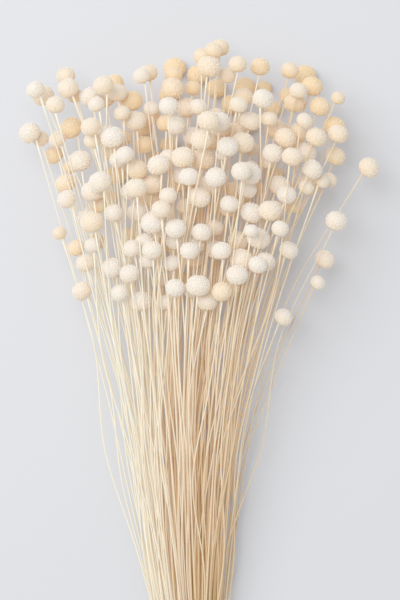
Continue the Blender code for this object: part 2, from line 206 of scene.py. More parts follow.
# z = middle + half height * sqrt(1 - across ^ 2) * rise, and the rise grows towards the twine
def planHeads(rng):
    points = cloudPoints(rng)
    count = len(points)
    x, y = points[:, 0], points[:, 1]
    radius = rng.normal(bunch["headRadius"], bunch["headSpread"], count)
    radius = np.clip(radius, bunch["headLeast"], bunch["headMost"])
    far, near = cloudEdge[:, 1].max(), cloudEdge[:, 1].min()
    towardTie = np.clip((far - y) / (far - near), 0, 1) ** bunch["domePower"]
    kind = rng.random(count)
    share = rng.random(count)
    top = towardTie * (bunch["topRise"][0] + bunch["topRise"][1] * share)
    inner = towardTie * (bunch["innerRise"][0] + bunch["innerRise"][1] * share)
    depth = bunch["underDepth"][0] + bunch["underDepth"][1] * towardTie
    under = -depth * (bunch["underRise"][0] + bunch["underRise"][1] * share)
    rise = np.where(kind < bunch["topUpTo"], top, np.where(kind < bunch["innerUpTo"], inner, under))
    x = np.append(x, loneFlowers[:, 0])
    y = np.append(y, loneFlowers[:, 1])
    rise = np.append(rise, loneFlowers[:, 2])
    radius = np.append(radius, loneFlowers[:, 3])
    across = acrossOf(x, y)
    side = np.sqrt(np.clip(1 - across**2, bunch["edgeThickness"], 1))
    z = middleZ(y) + halfHeight(y) * side * rise
    low = np.append(kind > 1 - bunch["restingShare"], np.zeros(len(loneFlowers), bool))
    rests = low & (abs(across) < bunch["restingAcross"])
    z = np.where(rests, radius - bunch["flatSpot"], z)
    return np.column_stack([x, y, z]), radius, rests


# the heads sorted by rise into rows, and each row's by side into sprays; and each spray's place
def shareOut(heads):
    rows = bunch["tieRows"]
    count = len(heads)
    y = heads[:, 1]
    across = acrossOf(heads[:, 0], y)
    rise = (heads[:, 2] - middleZ(y)) / halfHeight(y)
    node = np.zeros(count, int)
    place = np.zeros((sum(rows), 2))
    byHeight = np.argsort(rise, kind="stable")
    rowEnds = np.round(np.cumsum(rows) / sum(rows) * count).astype(int)
    first, start = 0, 0
    for row, columns in enumerate(rows):
        members = byHeight[start:rowEnds[row]]
        members = members[np.argsort(across[members], kind="stable")]
        node[members] = first + np.arange(len(members)) * columns // len(members)
        placed = slice(first, first + columns)
        place[placed, 0] = (np.arange(columns) - (columns - 1) / 2) * bunch["tieColumnPitch"]
        place[placed, 1] = (row - (len(rows) - 1) / 2) * bunch["tieRowPitch"]
        first += columns
        start = rowEnds[row]
    return node, place, across, rise


# axis = unit(fan + nod * (outwards + chance))
def faceHeads(heads, across, rise, rng):
    count = len(heads)
    fan = np.column_stack([
        across * bunch["fanHalfWidth"],
        np.full(count, bunch["fanLength"]),
        rise * bunch["fanHalfHeight"],
    ])
    axis = fan / np.linalg.norm(fan, axis=1, keepdims=True)
    out = np.column_stack([across * bunch["nodSide"], np.zeros(count), rise])
    axis = axis + bunch["nod"] * (out + rng.normal(0, bunch["nodScatter"], (count, 3)))
    return axis / np.linalg.norm(axis, axis=1, keepdims=True)


# knots (x, z) at even steps of y, from the fork to the neck, with a little wander
def firstPaths(heads, necks, node, place, rng):
    parts = bunch["stemParts"]
    tieAcross = place[node, 0] / bunch["tieHalfWidth"]
    tieRise = place[node, 1] / bunch["tieHalfHeight"]
    across = acrossOf(necks[:, 0], necks[:, 1])
    rise = (necks[:, 2] - middleZ(necks[:, 1])) / halfHeight(necks[:, 1])
    knots = np.zeros((len(heads), parts + 1, 2))
    for k in range(parts + 1):
        part = k / parts
        y = necks[:, 1] * part
        blend = part ** bunch["spreadPower"]
        knots[:, k, 0] = xOf(tieAcross + (across - tieAcross) * blend, y)
        knots[:, k, 1] = middleZ(y) + halfHeight(y) * (tieRise + (rise - tieRise) * blend)
    wander = rng.normal(0, bunch["wander"], (len(heads), parts - 1, 2)) * (1, bunch["wanderRise"])
    knots[:, 1:-1] += wander
    return knots


# each knot's share in a stem's place at y: 1 - distance in knots, not under 0
def knotWeights(y, neckY):
    spot = (y / neckY)[..., None] * bunch["stemParts"]
    return np.clip(1 - np.abs(spot - np.arange(bunch["stemParts"] + 1)), 0, 1)


# push = unit(offset) * (least distance - distance), where that is above 0
def apart(offset, least):
    distance = np.maximum(np.linalg.norm(offset, axis=-1), 1e-6)
    return offset / distance[..., None] * np.maximum(least - distance, 0)[..., None]


# push on each stem = sum over its near ones of offset * (least distance / distance - 1)
def stemPushes(place, least):
    x, z = place[..., 0], place[..., 1]
    dx = x[:, :, None] - x[:, None]
    dz = z[:, :, None] - z[:, None]
    square = dx * dx + dz * dz
    near = np.flatnonzero(square < least * least)
    distance = np.maximum(np.sqrt(square.ravel()[near]), 1e-6)
    share = least.ravel()[near] / distance - 1
    stem = near // place.shape[1]
    pushX = np.bincount(stem, dx.ravel()[near] * share, x.size)
    pushZ = np.bincount(stem, dz.ravel()[near] * share, x.size)
    return np.stack([pushX, pushZ], axis=-1).reshape(place.shape)


# each step moves every knot by its share of the pushes, and by springs to where it started
# that grow weaker: push on a knot = sum over levels of its weight there * push / weights squared
def settleFlowers(knots, heads, necks, radius, rests, node):
    gap = settling
    count = len(heads)
    headY, neckY = heads[:, 1], necks[:, 1]
    headFromNeck = (heads - necks)[:, [0, 2]]
    ball = radius * (1 + gap["floretRelief"])
    start = knots.copy()
    bend = start[:, 1:-1] - (start[:, :-2] + start[:, 2:]) / 2
    levels = np.arange(gap["levelStep"], neckY.max(), gap["levelStep"])
    levelWeights = knotWeights(levels[:, None], neckY[None])
    levelShare = levelWeights / (levelWeights**2).sum(axis=2, keepdims=True).clip(gap["leastWeight"])
    hasStem = levels[:, None] < neckY[None]
    itself = np.eye(count, dtype=bool)
    stemGap = np.full((len(levels), count, count), 2 * gap["stemRadius"] + gap["room"])
    stemGap[~(hasStem[:, :, None] & hasStem[:, None])] = 0
    stemGap[:, itself] = 0
    low = levels < gap["freeBelow"]
    stemGap[low] += (gap["mainRadius"] - gap["stemRadius"]) * stemGap[low].clip(0, 1)
    stemGap[low] *= node[:, None] != node[None]
    slices = np.array(gap["headSlices"])
    sliceY = headY[None, :, None] + slices[:, None, None] * ball[None, :, None]
    sliceRadius = ball * np.sqrt(1 - slices**2)[:, None]
    sliceWeights = knotWeights(sliceY, neckY[None, None])
    sliceShare = sliceWeights / (sliceWeights**2).sum(axis=3, keepdims=True).clip(gap["leastWeight"])
    stemPastHead = np.repeat(sliceRadius[:, :, None] + gap["stemRadius"] + gap["room"], count, axis=2)
    stemPastHead[sliceY > neckY[None, None]] = 0
    stemPastHead[:, itself] = 0
    along = headY[:, None] - headY[None]
    reach = ball[:, None] + ball[None] + gap["room"]
    headPastHead = np.sqrt(np.maximum(reach**2 - along**2, 0)) * ~itself
    for step in range(gap["steps"]):
        spring = max(0, 1 - step / gap["calmFrom"])
        move = np.zeros_like(knots)
        place = np.einsum("jfk,fkc->jfc", levelWeights, knots)
        move += np.einsum("jfk,jfc->fkc", levelShare, stemPushes(place, stemGap) * gap["stemPush"])
        centres = knots[:, -1] + headFromNeck
        passing = np.einsum("shfk,fkc->shfc", sliceWeights, knots)
        push = apart(passing - centres[None, :, None], stemPastHead) * gap["stemOffHead"]
        move += np.einsum("shfk,shfc->fkc", sliceShare, push)
        move[:, -1] -= push.sum(axis=(0, 2)) * gap["headOffStem"]
        crowded = apart(centres[:, None] - centres[None], headPastHead)
        move[:, -1] += crowded.sum(axis=1) * gap["headPush"]
        move[:, -1] += (start[:, -1] - knots[:, -1]) * gap["homeSpring"] * spring
        smooth = (knots[:, :-2] + knots[:, 2:]) / 2 + bend
        move[:, 1:-1] += (smooth - knots[:, 1:-1]) * gap["bendSpring"] * spring
        move[:, 0] = 0
        length = np.linalg.norm(move, axis=2, keepdims=True)
        knots = knots + move * np.minimum(1, gap["longestMove"] / np.maximum(length, 1e-9))
        lowest = radius - bunch["flatSpot"] - headFromNeck[:, 1]
        knots[:, -1, 1] = np.where(rests, lowest, np.maximum(knots[:, -1, 1], lowest))
        knots[:, 1:, 1] = np.maximum(knots[:, 1:, 1], gap["stemRadius"] + gap["floorRoom"])
    return np.round(knots, 4)


# the whole layout from one seed: heads, sprays and axes, then the paths once settled
def layBunch():
    rng = np.random.default_rng(bunch["seed"])
    heads, radius, rests = planHeads(rng)
    node, place, across, rise = shareOut(heads)
    axes = faceHeads(heads, across, rise, rng)
    necks = heads + axes * radius[:, None] * bunch["neckHeight"]
    knots = firstPaths(heads, necks, node, place, rng)
    knots = settleFlowers(knots, heads, necks, radius, rests, node)
    cutY = bunch["cutY"] + bunch["cutSpread"] * rng.random(len(heads))
    steps = np.arange(bunch["stemParts"] + 1) / bunch["stemParts"]
    path = np.stack([knots[..., 0], necks[:, 1:2] * steps, knots[..., 1]], axis=-1)
    centres = path[:, -1] + heads - necks
    rise = (centres[:, 2] - middleZ(centres[:, 1])) / halfHeight(centres[:, 1])
    return {
        "path": path, "centres": centres, "axes": axes, "radius": radius, "rise": rise,
        "cutY": cutY, "node": node, "place": place,
    }


flowers = layBunch()
tieLow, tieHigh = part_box("tie")
tieMiddle = (np.array(tieLow) + np.array(tieHigh)) / 2
shift = np.array([tieMiddle[0], tieMiddle[1] - bunch["tieY"] * mm, 0.0])
tableGap = 0.00003        # keeps the lowest points off the table, in metres
print("flowers laid:", len(flowers["radius"]))


# a piece from its faces and marks, a number at each point; its place = point * mm + shift
def makePiece(name, points, faces, look, marks):
    points = np.asarray(points, float).reshape(-1, 3) * mm + shift
    points[:, 2] = np.maximum(points[:, 2], tableGap)
    mesh = bpy.data.meshes.new(name)
    mesh.vertices.add(len(points))
    mesh.vertices.foreach_set("co", points.ravel().astype(np.float32))
    sizes = np.concatenate([np.full(len(f), f.shape[1]) for f in faces])
    corners = np.concatenate([f.ravel() for f in faces]).astype(np.int32)
    mesh.loops.add(len(corners))
    mesh.loops.foreach_set("vertex_index", corners)
    mesh.polygons.add(len(sizes))
    mesh.polygons.foreach_set("loop_start", (np.cumsum(sizes) - sizes).astype(np.int32))
    mesh.polygons.foreach_set("use_smooth", np.ones(len(sizes), bool))
    mesh.update(calc_edges=True)
    for mark, values in marks.items():
        layer = mesh.attributes.new(mark, "FLOAT", "POINT")
        layer.data.foreach_set("value", np.asarray(values, np.float32).ravel())
    mesh.materials.append(look)
    piece = bpy.data.objects.new(name, mesh)
    bpy.context.scene.collection.objects.link(piece)
    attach(piece, "root")
    return piece


# the quads of a grid whose columns close round: corner = row * columns + column
def gridFaces(rows, columns):
    r, c = np.meshgrid(np.arange(rows - 1), np.arange(columns), indexing="ij")
    a, b = r * columns + c, r * columns + (c + 1) % columns
    return np.stack([a, b, b + columns, a + columns], axis=-1).reshape(-1, 4)


# a tube's faces: its grid of rings, and a fan to each of the two end points that follow them
def tubeFaces(rings, sides):
    turn = np.arange(sides)
    ahead, last, ends = (turn + 1) % sides, (rings - 1) * sides, rings * sides
    foot = np.stack([ahead, turn, np.full(sides, ends)], axis=-1)
    tip = np.stack([last + turn, last + ahead, np.full(sides, ends + 1)], axis=-1)
    return gridFaces(rings, sides), np.concatenate([foot, tip])


# the same faces for each copy of a shape, counted on from copy to copy
def repeatFaces(faces, copies, stride):
    return (faces[None] + (np.arange(copies) * stride)[:, None, None]).reshape(-1, faces.shape[1])


# the two unit directions across each axis: x less its share along the axis, and axis x first
def crossways(axes):
    first = np.array([1.0, 0, 0]) - axes * axes[..., :1]
    first /= np.linalg.norm(first, axis=-1, keepdims=True)
    return first, np.cross(axes, first)


# colour = mix(mix(fresh, aged, age + speckle * noise), shade colour, painted shade + speckle *
# noise), with the noise counted from its middle; the age share carries painted shade as well as age
def driedColourAndShadeGroup():
    group = bpy.data.node_groups.new("driedColourAndShade", "ShaderNodeTree")
    for socketName, kind, value in (
        ("Fresh", "NodeSocketColor", (0.9, 0.86, 0.78, 1)),
        ("Agedandshaded", "NodeSocketColor", (0.85, 0.68, 0.45, 1)),
        ("Shade", "NodeSocketColor", (0.55, 0.33, 0.13, 1)),
        ("Age", "NodeSocketFloat", 0.3),
        ("Painted Shade", "NodeSocketFloat", 0.0),
        ("Speckle Scale", "NodeSocketFloat", 900.0),
        ("Speckle", "NodeSocketFloat", 0.15),
        ("Vector", "NodeSocketVector", (0, 0, 0)),
    ):
        made = group.interface.new_socket(socketName, in_out="INPUT", socket_type=kind)
        made.default_value = value
    group.interface.new_socket("Colour", in_out="OUTPUT", socket_type="NodeSocketColor")
    group.interface.new_socket("Speckle", in_out="OUTPUT", socket_type="NodeSocketFloat")
    nodes, links = group.nodes, group.links
    inside, outside = nodes.new("NodeGroupInput"), nodes.new("NodeGroupOutput")

    def maths(operation, first, second, clamped=False):
        node = nodes.new("ShaderNodeMath")
        node.operation = operation
        node.use_clamp = clamped
        links.new(first, node.inputs[0])
        links.new(second, node.inputs[1])
        return node.outputs[0]

    def blend(share, under, over):
        node = nodes.new("ShaderNodeMix")
        node.data_type = "RGBA"
        for value, socket in ((share, 0), (under, 6), (over, 7)):
            links.new(value, node.inputs[socket])
        return node.outputs[2]

    noise = nodes.new("ShaderNodeTexNoise")
    noise.inputs["Detail"].default_value = 3.0
    links.new(inside.outputs["Vector"], noise.inputs["Vector"])
    links.new(inside.outputs["Speckle Scale"], noise.inputs["Scale"])
    centred = nodes.new("ShaderNodeMath")
    centred.operation = "SUBTRACT"
    centred.inputs[1].default_value = 0.5
    links.new(noise.outputs["Fac"], centred.inputs[0])
    speckle = maths("MULTIPLY", centred.outputs[0], inside.outputs["Speckle"])
    ageAndShade = maths("ADD", inside.outputs["Age"], speckle, clamped=True)
    # painted shade: this share darkens the colour towards the third one
    paintedShade = maths("ADD", inside.outputs["Painted Shade"], speckle, clamped=True)
    agedAndShaded = blend(ageAndShade, inside.outputs["Fresh"], inside.outputs["Agedandshaded"])
    links.new(blend(paintedShade, agedAndShaded, inside.outputs["Shade"]), outside.inputs["Colour"])
    links.new(noise.outputs["Fac"], outside.inputs["Speckle"])
    return group


driedColourAndShade = driedColourAndShadeGroup()

# fresh on top; the second colour is age by chance and painted shade by depth and side, the third
# painted shade in the hollows and deep in the bunch; glow is light let through
headLook = {
    "fresh": (0.90, 0.83, 0.72),
    "agedAndShaded": (0.97, 0.64, 0.31),
    "shade": (0.62, 0.38, 0.17),
    "speckle": 0.2,
    "speckleScale": 700.0,
    "roughness": 0.85,
    "glow": 0.4,
    "glowDepth": 0.0011,
}
stemLook = {
    "fresh": (0.93, 0.80, 0.58),
    "agedAndShaded": (0.44, 0.285, 0.105),
    "shade": (0.64, 0.27, 0.012),
    "speckle": 0.4,
    "glow": 0.8,
    "glowDepth": 0.0012,
    "speckleScale": 260.0,
    "roughness": 0.62,
    "reliefHeight": 0.00006,
}
twineLook = {
    "fresh": (0.66, 0.50, 0.30),
    "agedAndShaded": (0.46, 0.31, 0.16),
    "shade": (0.20, 0.12, 0.05),
    "speckle": 0.8,
    "speckleScale": 500.0,
    "roughness": 0.9,
    "glow": 0.0,
    "glowDepth": 0.001,
    "reliefHeight": 0.0002,
}


# the value that makePiece wrote at each point
def readMark(nodes, name):
    mark = nodes.new("ShaderNodeAttribute")
    mark.attribute_name = name
    return mark.outputs["Fac"]


# colour = the shared colour group, with its painted shade, speckled by place, or streaked along the
# piece: then its noise is read at (round it, along it) and is also a fine relief
def driedMaterial(name, look, streaked):
    made = bpy.data.materials.new(name)
    made.use_nodes = True
    nodes, links = made.node_tree.nodes, made.node_tree.links
    shader = nodes["Principled BSDF"]
    shader.inputs["Roughness"].default_value = look["roughness"]
    shader.inputs["Subsurface Weight"].default_value = look["glow"]
    shader.inputs["Subsurface Scale"].default_value = look["glowDepth"]
    shader.inputs["Subsurface Radius"].default_value = (1.0, 0.7, 0.45)
    colour = nodes.new("ShaderNodeGroup")
    colour.node_tree = driedColourAndShade
    for socketName in ("fresh", "agedAndShaded", "shade"):
        colour.inputs[socketName.capitalize()].default_value = (*look[socketName], 1)
    colour.inputs["Speckle Scale"].default_value = look["speckleScale"]
    colour.inputs["Speckle"].default_value = look["speckle"]
    links.new(readMark(nodes, "ageAndShade"), colour.inputs["Age"])
    links.new(readMark(nodes, "paintedShade"), colour.inputs["Painted Shade"])
    links.new(colour.outputs["Colour"], shader.inputs["Base Color"])
    if not streaked:
        place = nodes.new("ShaderNodeTexCoord")
        links.new(place.outputs["Object"], colour.inputs["Vector"])
        return made
    streak = nodes.new("ShaderNodeCombineXYZ")
    links.new(readMark(nodes, "round"), streak.inputs["X"])
    links.new(readMark(nodes, "along"), streak.inputs["Y"])
    links.new(streak.outputs["Vector"], colour.inputs["Vector"])
    bump = nodes.new("ShaderNodeBump")
    bump.inputs["Distance"].default_value = look["reliefHeight"]
    links.new(colour.outputs["Speckle"], bump.inputs["Height"])
    links.new(bump.outputs["Normal"], shader.inputs["Normal"])
    return made


petals = driedMaterial("driedPetals", headLook, streaked=False)
straw = driedMaterial("driedStraw", stemLook, streaked=True)
jute = driedMaterial("juteTwine", twineLook, streaked=True)
print("materials made")


head = {
    "florets": 235,
    "jitter": 0.045,                  # how far chance moves a floret, in radians
    "floretWidth": 0.100,             # half width, for a head of radius 1
    "floretHeight": 0.062,
    "floretSink": 0.03,
    "floretFoot": 0.8,                # its foot's share of the width
    "floretMiddle": (0.78, 0.62),     # its middle's share of the width and of the height
    "floretShade": (0.32, 0.04, 0),  # painted shade at its foot, middle and tip
    "unevenness": 0.11,
    "sizeRange": (0.6, 1.4),
    "lastFloret": 0.80,               # how far down the ball the florets go, 1 is its foot
    "coreRadius": 0.965,
    "halfHeight": 0.88,
    "squareness": 0.85,
    "coreColumns": 20,
    "coreRows": 10,
    "coreSpan": (0.10, 0.955),        # the poles close the rest
    # painted shade on the core, where it shows between the florets
    "coreShade": 0.32,
    "poleShade": (0.2, 0.6),         # painted shade at the foot, where the stem joins, and at the apex
    "bractsFrom": 0.62,               # how far down the ball the bracts start
    "bractsOver": 0.12,
    # painted shade in the grooves between the bracts' ribs
    "bractGrooveShade": 0.12,
    "ribs": 10,
    "ribHeight": 0.03,
    "footAgeAndShade": 0.4,                   # how much warmer the head's underside is: partly the bracts' own browner colour, partly painted warm shade
    "undersideFrom": 0.25,
}


# the ball's outline: across = sin(v) ^ squareness, up = half height * cos(v), v from apex to foot
def ballOutline(v):
    across = head["coreRadius"] * np.sin(v) ** head["squareness"]
    return across, head["halfHeight"] * head["coreRadius"] * np.cos(v)


# the core: the outline turned round, its lower part ribbed by the bracts, closed at both poles
def coreShape():
    rows, columns = head["coreRows"], head["coreColumns"]
    v = np.linspace(*head["coreSpan"], rows)[:, None] * math.pi
    u = np.linspace(0, 2 * math.pi, columns, endpoint=False)[None]
    across, up = ballOutline(v)
    low = np.clip((v / math.pi - head["bractsFrom"]) / head["bractsOver"], 0, 1)
    rib = 1 + head["ribHeight"] * low * np.cos(u * head["ribs"])
    ball = np.stack([across * rib * np.cos(u), across * rib * np.sin(u), up * rib], axis=-1)
    poles = np.array([[0, 0, -head["halfHeight"]], [0, 0, head["halfHeight"] * head["coreRadius"]]])
    # painted shade: the core between the florets and the grooves between the ribs are darker
    grooveShade = head["bractGrooveShade"] * low * (1 - np.cos(u * head["ribs"])) / 2
    paintedShade = head["coreShade"] * (1 - low) + grooveShade
    points = np.concatenate([ball[::-1].reshape(-1, 3), poles])
    paintedShade = np.append(paintedShade[::-1].ravel(), head["poleShade"])
    return points, *tubeFaces(rows, columns), paintedShade


# floret k stands at turn k * golden angle, at a height that gives each the same share of the ball,
# and chance moves both a little; its normal is the slope of an ellipsoid
def floretShape(count, rng):
    florets = head["florets"]
    k = np.arange(florets) + 0.5
    v = np.arccos(1 - k / florets * (1 - math.cos(head["lastFloret"] * math.pi)))
    v = (v + head["jitter"] * rng.normal(0, 1, (count, florets)).clip(-2, 2)).clip(0.02)
    turnChance = head["jitter"] * rng.normal(0, 1, (count, florets)) / np.sin(v).clip(0.3)
    u = k * math.pi * (3 - math.sqrt(5)) + turnChance
    across, up = ballOutline(v)
    centre = np.stack([across * np.cos(u), across * np.sin(u), up], axis=-1)
    slope = np.stack([
        np.sin(v) * np.cos(u), np.sin(v) * np.sin(u), np.cos(v) / head["halfHeight"],
    ], axis=-1)
    return centre, slope / np.linalg.norm(slope, axis=-1, keepdims=True)


# a floret: a four-cornered foot sunk in the core, a middle ring and a tip, turned by chance
def floretPoints(centre, normal, size, rng):
    first, second = crossways(normal)
    turn = (np.arange(4) * math.pi / 2 + rng.random((*size.shape, 1)) * math.pi)[..., None]
    ring = first[..., None, :] * np.cos(turn) + second[..., None, :] * np.sin(turn)
    width = head["floretWidth"] * size[..., None, None]
    height = head["floretHeight"] * size[..., None]
    middleWidth, middleHeight = head["floretMiddle"]
    foot = centre - normal * head["floretSink"]
    foot = foot[..., None, :] + ring * width * head["floretFoot"]
    middle = (centre + normal * height * middleHeight)[..., None, :] + ring * width * middleWidth
    tip = centre + normal * height
    return np.concatenate([foot, middle, tip[..., None, :]], axis=-2)


floretFaces = {
    "quads": np.array([[0, 1, 5, 4], [1, 2, 6, 5], [2, 3, 7, 6], [3, 0, 4, 7], [3, 2, 1, 0]]),
    "triangles": np.array([[4, 5, 8], [5, 6, 8], [6, 7, 8], [7, 4, 8]]),
}


# a node's heads: the unit head scaled by each radius and turned to each axis
def makeHeads(name, members, rng):
    count, florets = len(members), head["florets"]
    core, coreQuads, coreTriangles, coreShade = coreShape()
    centre, normal = floretShape(count, rng)
    size = 1 + head["unevenness"] * rng.normal(0, 1, centre.shape[:2])
    floret = floretPoints(centre, normal, size.clip(*head["sizeRange"]), rng)
    perFloret = floret.shape[2]
    cores = np.broadcast_to(core, (count, *core.shape))
    unit = np.concatenate([cores, floret.reshape(count, -1, 3)], axis=1)
    axes, radius = flowers["axes"][members], flowers["radius"][members]
    first, second = crossways(axes)
    spin = rng.random(count)[:, None] * 2 * math.pi
    x = unit[..., 0] * np.cos(spin) - unit[..., 1] * np.sin(spin)
    y = unit[..., 0] * np.sin(spin) + unit[..., 1] * np.cos(spin)
    turned = x[..., None] * first[:, None] + y[..., None] * second[:, None]
    turned = turned + unit[..., 2:] * axes[:, None]
    points = turned * radius[:, None, None] + flowers["centres"][members][:, None]
    floretQuads = repeatFaces(floretFaces["quads"], florets, perFloret) + len(core)
    floretTips = repeatFaces(floretFaces["triangles"], florets, perFloret) + len(core)
    quads = np.concatenate([coreQuads, floretQuads])
    triangles = np.concatenate([coreTriangles, floretTips])
    # painted shade: the florets' feet are darker than their tips
    floretShade = np.tile(np.repeat(head["floretShade"], (4, 4, 1)), florets)
    paintedShade = np.tile(np.concatenate([coreShade, floretShade]), count)
    # the underside is warmer, partly by the bracts' own colour, partly by painted shade
    underside = (head["undersideFrom"] - unit[..., 2] / head["halfHeight"]).clip(0, 1)
    ageAndShade = headAgeAndShade[members][:, None] + head["footAgeAndShade"] * underside
    faces = [repeatFaces(some, count, unit.shape[1]) for some in (quads, triangles)]
    return makePiece(name, points, faces, petals, {"ageAndShade": ageAndShade, "paintedShade": paintedShade})


stem = {
    "footRadius": 0.55,
    "neckRadius": 0.38,
    "unevenness": 0.08,
    "flare": 1.7,                     # widening under the head
    "flareFrom": 0.97,                # where it starts, 1 is the neck
    "sides": 6,
    "steps": 40,
    "mainRadius": 1.15,               # below the fork a spray's stems run inside this
    "length": 0.4,                    # in metres, for the colours alone
    "footAgeAndShade": 0.75,                  # how much the age and painted shade fall from foot to neck
    "evenAt": 0.55,
    "cutAge": 0.1,
    "innerShadeTo": 0.42,                  # how far up, in metres, a deep stem's painted ochre shade reaches
    "innerShadePower": 0.5,
    "streakLength": 30.0,
    "streakWidth": 0.0008,
}


# a smooth path through the knots: Catmull-Rom, with its end knots mirrored past the ends
def smoothPath(knots, steps):
    spots = np.linspace(0, knots.shape[1] - 1.0001, steps)
    at = spots.astype(int)
    t = (spots - at)[None, :, None]
    before = 2 * knots[:, :1] - knots[:, 1:2]
    after = 2 * knots[:, -1:] - knots[:, -2:-1]
    ends = np.concatenate([before, knots, after], axis=1)
    a, b, c, d = (ends[:, at + i] for i in range(4))
    bend = (2 * a - 5 * b + 4 * c - d) * t**2 + (3 * b - a - 3 * c + d) * t**3
    return 0.5 * (2 * b + (c - a) * t + bend)


# a node's knots: below the fork its stems stand on a circle inside the main stem, in the order
# in which they turn away, and above it they follow the flowers' own paths
def stemKnots(number, members):
    path, centreZ = flowers["path"][members], float(middleZ(0.0))
    turn = np.arctan2(path[:, 1, 2] - path[:, 0, 2], path[:, 1, 0] - path[:, 0, 0])
    order = np.argsort(np.argsort(turn))
    turn = turn.min() + 2 * math.pi * order / len(members)
    circle = stem["mainRadius"] - stem["footRadius"]
    off = np.stack([np.cos(turn), 0 * turn, np.sin(turn)], axis=-1) * circle
    x, z = flowers["place"][number]
    cut = np.array([x * bunch["cutFlare"], 0, z * bunch["cutFlare"] + centreZ]) + off
    cut[:, 1] = flowers["cutY"][members]
    tied = np.array([x, bunch["tieY"], z + centreZ]) + off
    fork = np.array([x, 0, z + centreZ]) + off
    return np.concatenate([np.stack([cut, tied, fork], axis=1), path[:, 1:]], axis=1)


# age and painted shade fall evenly, and the painted ochre shade as (1 - length / reach) ^ power;
# chance moves each stem's streaks
def stemMarks(members, chance):
    sides, steps = stem["sides"], stem["steps"]
    u = np.arange(sides) * 2 * math.pi / sides
    length = np.repeat(np.linspace(0, stem["length"], steps), sides)
    olderAndShaded = stem["footAgeAndShade"] * (stem["evenAt"] - length / stem["length"])
    low = np.clip(1 - length / stem["innerShadeTo"], 0, 1) ** stem["innerShadePower"]
    along = np.append(length, [0, stem["length"]]) / stem["streakLength"]
    across = np.append(np.tile(np.cos(u), steps) * stem["streakWidth"], [0, 0])
    ageAndShade = stemAgeAndShade[members][:, None] + np.append(olderAndShaded, [stem["cutAge"], 0])
    return {
        "ageAndShade": ageAndShade.clip(0, 1),
        # painted ochre shade inside the bunch, the cut end taking the full share
        "paintedShade": np.append(low, [1, 0]) * stemInnerShade[members][:, None],
        "along": along + chance[:, None],
        "round": across + chance[:, None],
    }


# a node's stems: a ring of points carried along each path, narrowing towards the head
def makeStems(name, number, members, rng):
    count, steps, sides = len(members), stem["steps"], stem["sides"]
    points = smoothPath(stemKnots(number, members), steps)
    along = np.diff(points, axis=1, prepend=points[:, :1] * 2 - points[:, 1:2])
    along /= np.linalg.norm(along, axis=-1, keepdims=True)
    first, second = crossways(along)
    u = np.arange(sides) * 2 * math.pi / sides
    part = np.linspace(0, 1, steps)[None, :, None, None]
    radius = stem["footRadius"] + (stem["neckRadius"] - stem["footRadius"]) * part
    radius = radius * (1 + stem["unevenness"] * rng.normal(0, 1, (count, 1, 1, 1)))
    flared = np.clip((part - stem["flareFrom"]) / (1 - stem["flareFrom"]), 0, 1) ** 2
    radius = radius * (1 + (stem["flare"] - 1) * flared)
    ring = first[:, :, None] * np.cos(u)[:, None] + second[:, :, None] * np.sin(u)[:, None]
    tube = (points[:, :, None] + ring * radius).reshape(count, -1, 3)
    whole = np.concatenate([tube, points[:, [0, -1]]], axis=1)
    faces = [repeatFaces(some, count, whole.shape[1]) for some in tubeFaces(steps, sides)]
    return makePiece(name, whole, faces, straw, stemMarks(members, rng.random(count)))


# how warm each flower is, by age and by painted shade
ageingAndShade = {
    "deepFrom": 0.55,                 # a flower under this rise counts as deep
    "deepOver": 1.2,
    "head": 0.04,
    "headShadeByDepth": 0.95,
    "headChance": 0.17,
    "loneHeads": 0.4,                 # the lone heads keep this share of it
    "stem": 0.12,
    "stemShadeByDepth": 0.35,
    "stemShadeBySide": 0.5,
    "stemChance": 0.16,
    "innerShadeRows": 1.6,
    "innerShadeSide": 0.3,
    "innerShadeSpread": 0.9,
    "innerShadeLeast": 0.05,
}

# age = start + share * depth + share * side + chance, where both shares are painted shade; side is -1
# at the left and 1 at the right
ageRng = np.random.default_rng(bunch["seed"] + 1)
depth = np.clip(ageingAndShade["deepFrom"] - flowers["rise"], 0, ageingAndShade["deepOver"]) / ageingAndShade["deepOver"]
side = acrossOf(flowers["centres"][:, 0], flowers["centres"][:, 1])
headChance = ageRng.normal(0, ageingAndShade["headChance"], len(depth))
headAgeAndShade = (ageingAndShade["head"] + ageingAndShade["headShadeByDepth"] * depth + headChance).clip(0, 1)
headAgeAndShade[bunch["headCount"]:] *= ageingAndShade["loneHeads"]
stemChance = ageRng.normal(0, ageingAndShade["stemChance"], len(depth))
stemAgeAndShade = ageingAndShade["stem"] + ageingAndShade["stemShadeByDepth"] * depth + ageingAndShade["stemShadeBySide"] * side + stemChance
stemAgeAndShade = stemAgeAndShade.clip(0, 1)

# painted ochre shade = (most - row in the twine, 1 is the top one) * (1 - ((side - its own) / spread)
# ^ 2)
row = flowers["place"][flowers["node"], 1] / (2 * bunch["tieRowPitch"])
nearMiddle = 1 - ((side - ageingAndShade["innerShadeSide"]) / ageingAndShade["innerShadeSpread"]) ** 2
stemInnerShade = (ageingAndShade["innerShadeRows"] - row).clip(0, 1) * nearMiddle.clip(ageingAndShade["innerShadeLeast"], 1)

pieceRng = np.random.default_rng(bunch["seed"] + 2)
for number in range(flowers["node"].max() + 1):
    nodeName = f"flowers_{number + 1:02d}"
    members = np.flatnonzero(flowers["node"] == number)
    headsPiece = makeHeads(f"heads_{number + 1:02d}", members, pieceRng)
    stemsPiece = makeStems(f"stems_{number + 1:02d}", number, members, pieceRng)
    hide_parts(nodeName)
    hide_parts(nodeName)
print("sprays made:", number + 1)


